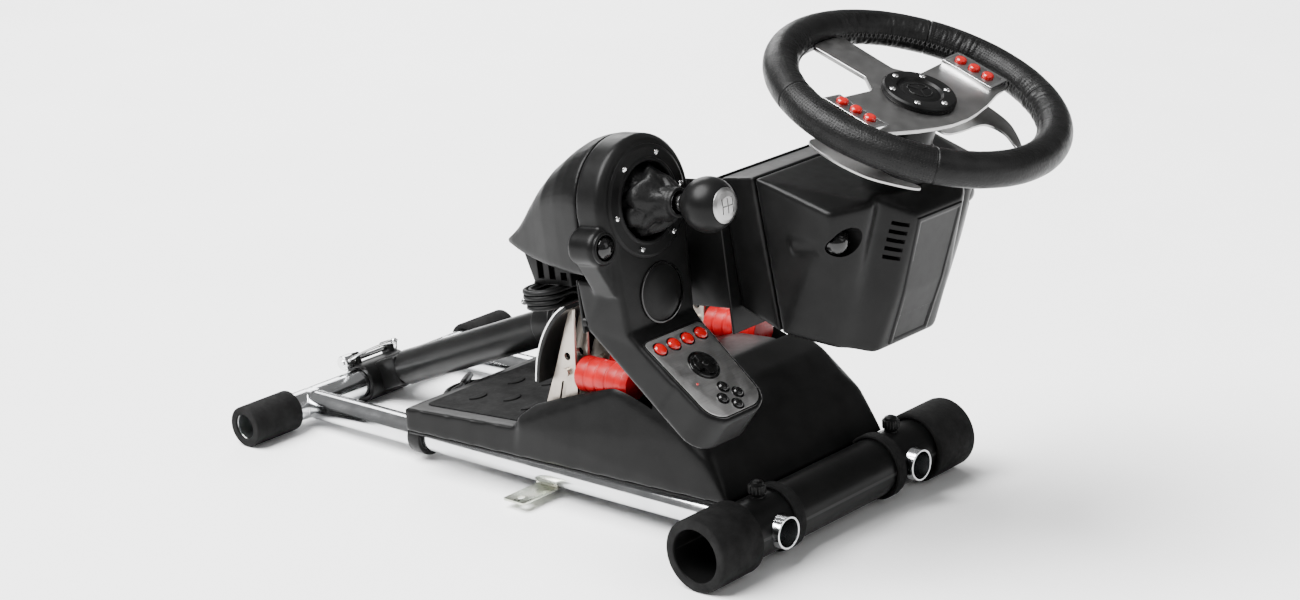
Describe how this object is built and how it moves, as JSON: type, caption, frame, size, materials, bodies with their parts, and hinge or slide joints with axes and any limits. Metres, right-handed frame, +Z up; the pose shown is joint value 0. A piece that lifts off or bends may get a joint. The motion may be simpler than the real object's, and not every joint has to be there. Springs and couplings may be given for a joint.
{
  "type": "racing wheel",
  "caption": "Force-feedback racing wheel on a folding tubular stand, with an H-pattern shifter, a button panel and a pedal unit, folded flat.",
  "frame": {"origin": "middle of the folded object's footprint, on the floor", "axes": "+X along the stand's rails, from the rear tube to the front bar; +Y to the driver's left; +Z up"},
  "size_m": [0.8778, 0.4584, 0.4922],
  "materials": {
    "chrome_steel": "bright plated steel tube",
    "black_powder_coat": "satin black powder coat",
    "black_rubber": "matt moulded rubber",
    "black_leather": "grained and stitched",
    "brushed_aluminium": "brushed",
    "red_plastic": "gloss red",
    "white_nylon": "natural nylon",
    "black_cable": "smooth cable jacket",
    "black_plastic": "satin black moulding"
  },
  "bodies": {
    "stand": {"rear_tube": "chrome_steel", "rear_cap_right": "black_rubber", "rear_cap_left": "black_rubber", "rail_right": "chrome_steel", "rail_left": "chrome_steel", "pedal_tray": "black_plastic", "pedal_cover": "black_plastic", "pedal_cable": "black_cable"},
    "front_bar": {"front_tube": "black_powder_coat", "front_cap_right": "black_rubber", "front_cap_left": "black_rubber"},
    "lock_bolt_right": {"lock_bolt_right": "black_plastic"},
    "lock_bolt_left": {"lock_bolt_left": "black_plastic"},
    "column": {"column_foot": "black_powder_coat", "column_outer": "black_powder_coat"},
    "foot_lever": {"foot_lever": "chrome_steel"},
    "height_lever": {"height_lever": "chrome_steel"},
    "carriage": {"wheel_post": "black_powder_coat", "base_shell": "black_plastic", "base_cover": "black_plastic", "motor_pair": "chrome_steel", "shifter_body": "black_plastic", "shifter_rear_cover": "black_plastic", "shifter_cable": "black_cable"},
    "base_knob_right": {"base_knob_right": "black_plastic"},
    "base_knob_left": {"base_knob_left": "black_plastic"},
    "wheel": {"wheel_rim": "black_leather", "spoke_plate": "brushed_aluminium", "hub_cover": "black_plastic", "steering_shaft": "black_powder_coat"},
    "motor_pinion_right": {"motor_pinion_right": "white_nylon"},
    "motor_pinion_left": {"motor_pinion_left": "white_nylon"},
    "shift_paddle_right": {"shift_paddle_right": "brushed_aluminium"},
    "shift_paddle_left": {"shift_paddle_left": "brushed_aluminium"},
    "wheel_button_right_lower": {"wheel_button_right_lower": "red_plastic"},
    "wheel_button_right_middle": {"wheel_button_right_middle": "red_plastic"},
    "wheel_button_right_upper": {"wheel_button_right_upper": "red_plastic"},
    "wheel_button_left_lower": {"wheel_button_left_lower": "red_plastic"},
    "wheel_button_left_middle": {"wheel_button_left_middle": "red_plastic"},
    "wheel_button_left_upper": {"wheel_button_left_upper": "red_plastic"},
    "shifter_clamp_knob": {"shifter_clamp_knob": "black_plastic"},
    "shift_yoke": {"shift_yoke": "chrome_steel"},
    "shift_lever": {"shift_lever": "chrome_steel", "shift_boot": "black_leather"},
    "shift_knob": {"shift_knob": "black_plastic"},
    "panel_button_red_1": {"panel_button_red_1": "red_plastic"},
    "panel_button_red_2": {"panel_button_red_2": "red_plastic"},
    "panel_button_red_3": {"panel_button_red_3": "red_plastic"},
    "panel_button_red_4": {"panel_button_red_4": "red_plastic"},
    "direction_pad": {"direction_pad": "black_plastic"},
    "panel_button_near": {"panel_button_near": "black_plastic"},
    "panel_button_top": {"panel_button_top": "black_plastic"},
    "panel_button_far": {"panel_button_far": "black_plastic"},
    "panel_button_bottom": {"panel_button_bottom": "black_plastic"},
    "throttle_pedal": {"throttle_pedal": "brushed_aluminium"},
    "throttle_spring": {"throttle_spring_housing": "red_plastic"},
    "brake_pedal": {"brake_pedal": "brushed_aluminium"},
    "brake_spring": {"brake_spring_housing": "red_plastic"},
    "clutch_pedal": {"clutch_pedal": "brushed_aluminium"},
    "clutch_spring": {"clutch_spring_housing": "red_plastic"}
  },
  "joints": [
    {"name": "front_bar_slide", "type": "slide", "parent": "stand", "child": "front_bar", "axis": [0.9998, 0, 0.022], "range_m": [0, 0.025]},
    {"name": "lock_bolt_right_turn", "type": "hinge", "parent": "front_bar", "child": "lock_bolt_right", "pos_m": [0.19645, -0.06575, 0.035], "axis": [-0.022, 0, 0.9998], "range_deg": [0, 360]},
    {"name": "lock_bolt_left_turn", "type": "hinge", "parent": "front_bar", "child": "lock_bolt_left", "pos_m": [0.19645, 0.13825, 0.035], "axis": [-0.022, 0, 0.9998], "range_deg": [0, 360]},
    {"name": "column_fold", "type": "hinge", "parent": "stand", "child": "column", "pos_m": [-0.4174, 0.03625, 0.0215], "axis": [0, -1, 0], "range_deg": [0, 84]},
    {"name": "foot_lever_swing", "type": "hinge", "parent": "column", "child": "foot_lever", "pos_m": [-0.42739, 0.00575, 0.0455], "axis": [0, -1, 0], "range_deg": [0, 110]},
    {"name": "height_lever_swing", "type": "hinge", "parent": "column", "child": "height_lever", "pos_m": [-0.16119, 0.03875, 0.17364], "axis": [0, 1, 0], "range_deg": [0, 110]},
    {"name": "height_slide", "type": "slide", "parent": "column", "child": "carriage", "axis": [0.9232, 0, 0.3843], "range_m": [0, 0.15]},
    {"name": "base_knob_right_turn", "type": "hinge", "parent": "carriage", "child": "base_knob_right", "pos_m": [0.27206, -0.05775, 0.31927], "axis": [0.9934, 0, 0.1149], "range_deg": [0, 360]},
    {"name": "base_knob_left_turn", "type": "hinge", "parent": "carriage", "child": "base_knob_left", "pos_m": [0.27206, 0.13025, 0.31927], "axis": [0.9934, 0, 0.1149], "range_deg": [0, 360]},
    {"name": "steering", "type": "hinge", "parent": "carriage", "child": "wheel", "pos_m": [0.3066, 0.03625, 0.434], "axis": [0.342, 0, 0.9397], "range_deg": [-450, 450]},
    {"name": "motor_right_spin", "type": "hinge", "parent": "carriage", "child": "motor_pinion_right", "pos_m": [0.3066, -0.01905, 0.434], "axis": [0.342, 0, 0.9397], "range_deg": [-1800, 1800]},
    {"name": "motor_left_spin", "type": "hinge", "parent": "carriage", "child": "motor_pinion_left", "pos_m": [0.3066, 0.09155, 0.434], "axis": [0.342, 0, 0.9397], "range_deg": [-1800, 1800]},
    {"name": "paddle_right_pull", "type": "hinge", "parent": "wheel", "child": "shift_paddle_right", "pos_m": [0.29463, 0.00625, 0.40111], "axis": [-0.9397, 0, 0.342], "range_deg": [0, 5], "stiffness_Nm_per_rad": 6, "springref_deg": -5.73},
    {"name": "paddle_left_pull", "type": "hinge", "parent": "wheel", "child": "shift_paddle_left", "pos_m": [0.29463, 0.06625, 0.40111], "axis": [0.9397, 0, -0.342], "range_deg": [0, 5], "stiffness_Nm_per_rad": 6, "springref_deg": -5.73},
    {"name": "wheel_button_right_lower_press", "type": "slide", "parent": "wheel", "child": "wheel_button_right_lower", "axis": [-0.342, 0, -0.9397], "range_m": [0, 0.0012], "stiffness_N_per_m": 500, "springref_m": -0.001},
    {"name": "wheel_button_right_middle_press", "type": "slide", "parent": "wheel", "child": "wheel_button_right_middle", "axis": [-0.342, 0, -0.9397], "range_m": [0, 0.0012], "stiffness_N_per_m": 500, "springref_m": -0.001},
    {"name": "wheel_button_right_upper_press", "type": "slide", "parent": "wheel", "child": "wheel_button_right_upper", "axis": [-0.342, 0, -0.9397], "range_m": [0, 0.0012], "stiffness_N_per_m": 500, "springref_m": -0.001},
    {"name": "wheel_button_left_lower_press", "type": "slide", "parent": "wheel", "child": "wheel_button_left_lower", "axis": [-0.342, 0, -0.9397], "range_m": [0, 0.0012], "stiffness_N_per_m": 500, "springref_m": -0.001},
    {"name": "wheel_button_left_middle_press", "type": "slide", "parent": "wheel", "child": "wheel_button_left_middle", "axis": [-0.342, 0, -0.9397], "range_m": [0, 0.0012], "stiffness_N_per_m": 500, "springref_m": -0.001},
    {"name": "wheel_button_left_upper_press", "type": "slide", "parent": "wheel", "child": "wheel_button_left_upper", "axis": [-0.342, 0, -0.9397], "range_m": [0, 0.0012], "stiffness_N_per_m": 500, "springref_m": -0.001},
    {"name": "shifter_clamp_turn", "type": "hinge", "parent": "carriage", "child": "shifter_clamp_knob", "pos_m": [0.14142, -0.21275, 0.33033], "axis": [0.9934, 0, 0.1149], "range_deg": [0, 360]},
    {"name": "shift_side", "type": "hinge", "parent": "carriage", "child": "shift_yoke", "pos_m": [0.1233, -0.15375, 0.35642], "axis": [-0.1149, 0, 0.9934], "range_deg": [-9, 9], "stiffness_Nm_per_rad": 3},
    {"name": "shift_fore_aft", "type": "hinge", "parent": "shift_yoke", "child": "shift_lever", "pos_m": [0.1233, -0.15375, 0.35642], "axis": [0, 1, 0], "range_deg": [-9, 9]},
    {"name": "shift_knob_push", "type": "slide", "parent": "shift_lever", "child": "shift_knob", "axis": [-0.9934, 0, -0.1149], "range_m": [0, 0.008], "stiffness_N_per_m": 900, "springref_m": -0.004},
    {"name": "panel_button_red_1_press", "type": "slide", "parent": "carriage", "child": "panel_button_red_1", "axis": [-0.5906, 0, -0.807], "range_m": [0, 0.001], "stiffness_N_per_m": 500, "springref_m": -0.001},
    {"name": "panel_button_red_2_press", "type": "slide", "parent": "carriage", "child": "panel_button_red_2", "axis": [-0.5906, 0, -0.807], "range_m": [0, 0.001], "stiffness_N_per_m": 500, "springref_m": -0.001},
    {"name": "panel_button_red_3_press", "type": "slide", "parent": "carriage", "child": "panel_button_red_3", "axis": [-0.5906, 0, -0.807], "range_m": [0, 0.001], "stiffness_N_per_m": 500, "springref_m": -0.001},
    {"name": "panel_button_red_4_press", "type": "slide", "parent": "carriage", "child": "panel_button_red_4", "axis": [-0.5906, 0, -0.807], "range_m": [0, 0.001], "stiffness_N_per_m": 500, "springref_m": -0.001},
    {"name": "direction_pad_tilt", "type": "hinge", "parent": "carriage", "child": "direction_pad", "pos_m": [0.21038, -0.15175, 0.21809], "axis": [0, 1, 0], "range_deg": [-4, 4], "stiffness_Nm_per_rad": 0.4},
    {"name": "panel_button_near_press", "type": "slide", "parent": "carriage", "child": "panel_button_near", "axis": [-0.5906, 0, -0.807], "range_m": [0, 0.001], "stiffness_N_per_m": 500, "springref_m": -0.001},
    {"name": "panel_button_top_press", "type": "slide", "parent": "carriage", "child": "panel_button_top", "axis": [-0.5906, 0, -0.807], "range_m": [0, 0.001], "stiffness_N_per_m": 500, "springref_m": -0.001},
    {"name": "panel_button_far_press", "type": "slide", "parent": "carriage", "child": "panel_button_far", "axis": [-0.5906, 0, -0.807], "range_m": [0, 0.001], "stiffness_N_per_m": 500, "springref_m": -0.001},
    {"name": "panel_button_bottom_press", "type": "slide", "parent": "carriage", "child": "panel_button_bottom", "axis": [-0.5906, 0, -0.807], "range_m": [0, 0.001], "stiffness_N_per_m": 500, "springref_m": -0.001},
    {"name": "throttle_press", "type": "hinge", "parent": "stand", "child": "throttle_pedal", "pos_m": [-0.04637, -0.05975, 0.06967], "axis": [0, 1, 0], "range_deg": [0, 20], "stiffness_Nm_per_rad": 14, "springref_deg": -6.88},
    {"name": "throttle_spring_travel", "type": "slide", "parent": "stand", "child": "throttle_spring", "axis": [0.9998, 0, 0.022], "range_m": [0, 0.0245]},
    {"name": "brake_press", "type": "hinge", "parent": "stand", "child": "brake_pedal", "pos_m": [-0.04637, -0.00975, 0.06967], "axis": [0, 1, 0], "range_deg": [0, 20], "stiffness_Nm_per_rad": 30, "springref_deg": -6.88},
    {"name": "brake_spring_travel", "type": "slide", "parent": "stand", "child": "brake_spring", "axis": [0.9998, 0, 0.022], "range_m": [0, 0.0245]},
    {"name": "clutch_press", "type": "hinge", "parent": "stand", "child": "clutch_pedal", "pos_m": [-0.04637, 0.13025, 0.06967], "axis": [0, 1, 0], "range_deg": [0, 20], "stiffness_Nm_per_rad": 18, "springref_deg": -6.88},
    {"name": "clutch_spring_travel", "type": "slide", "parent": "stand", "child": "clutch_spring", "axis": [0.9998, 0, 0.022], "range_m": [0, 0.0245]}
  ],
  "couplings": [
    {"joint": "motor_right_spin", "follows": "steering", "ratio": -4},
    {"joint": "motor_left_spin", "follows": "steering", "ratio": -4},
    {"joint": "throttle_spring_travel", "follows": "throttle_press", "m_per_rad": 0.0686},
    {"joint": "brake_spring_travel", "follows": "brake_press", "m_per_rad": 0.0686},
    {"joint": "clutch_spring_travel", "follows": "clutch_press", "m_per_rad": 0.0686}
  ]
}
